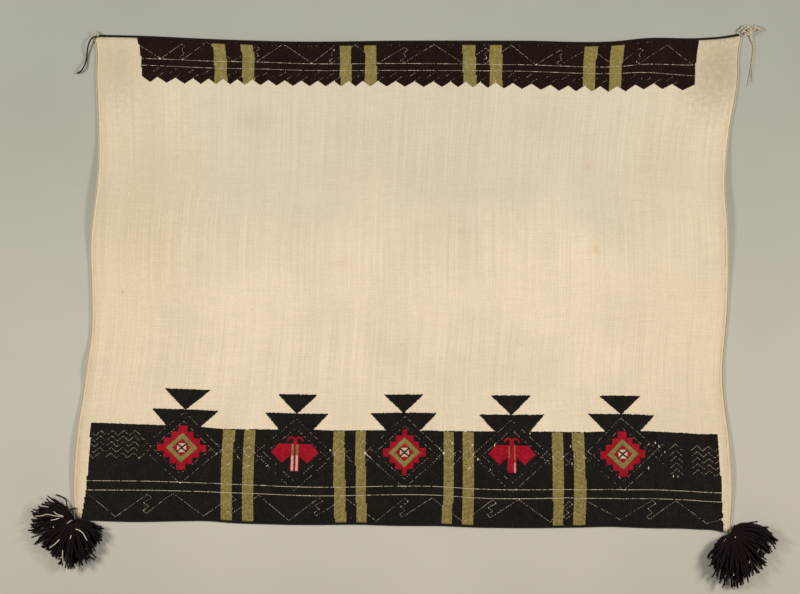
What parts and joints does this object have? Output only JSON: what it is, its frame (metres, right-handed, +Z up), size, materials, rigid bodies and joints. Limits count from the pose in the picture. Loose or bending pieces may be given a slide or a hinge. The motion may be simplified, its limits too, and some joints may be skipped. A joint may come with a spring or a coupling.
{
  "type": "ceremonial manta",
  "caption": "White cotton manta laid flat, with embroidered wool bands along both long edges, twined edge cords, corner tassels and a corner knot of string.",
  "frame": {"origin": "middle of the woven cloth, on the surface that it lies on", "axes": "+X along the embroidered edges, to the right as worn face up; +Y towards the top band; +Z up from the surface"},
  "size_m": [1.6496, 1.2453, 0.0217],
  "materials": {
    "white_cotton": "plain weave, undyed, aged cream",
    "cotton_string": "twined cotton cord",
    "dark_wool": "dark brown wool yarn",
    "black_wool": "black wool yarn, ribbed stitch",
    "green_wool": "faded olive green wool, ribbed stitch",
    "red_wool": "red wool yarn, ribbed stitch"
  },
  "bodies": {
    "root": {"cloth": "white_cotton", "top_edge_cord": "dark_wool", "bottom_edge_cord": "black_wool", "left_edge_cord": "cotton_string", "right_edge_cord": "cotton_string", "loose_cord": "dark_wool", "bottom_band": "black_wool", "bottom_bar_1": "green_wool", "bottom_bar_2": "green_wool", "bottom_bar_3": "green_wool", "bottom_bar_4": "green_wool", "bottom_bar_5": "green_wool", "bottom_bar_6": "green_wool", "bottom_bar_7": "green_wool", "bottom_bar_8": "green_wool", "diamond_left": "red_wool", "diamond_middle": "red_wool", "diamond_right": "red_wool", "butterfly_left": "red_wool", "butterfly_right": "red_wool", "top_band": "dark_wool", "top_bar_1": "green_wool", "top_bar_2": "green_wool", "top_bar_3": "green_wool", "top_bar_4": "green_wool", "top_bar_5": "green_wool", "top_bar_6": "green_wool", "top_bar_7": "green_wool", "top_bar_8": "green_wool", "left_tassel": "dark_wool", "right_tassel": "dark_wool", "corner_knot": "cotton_string"}
  },
  "joints": []
}
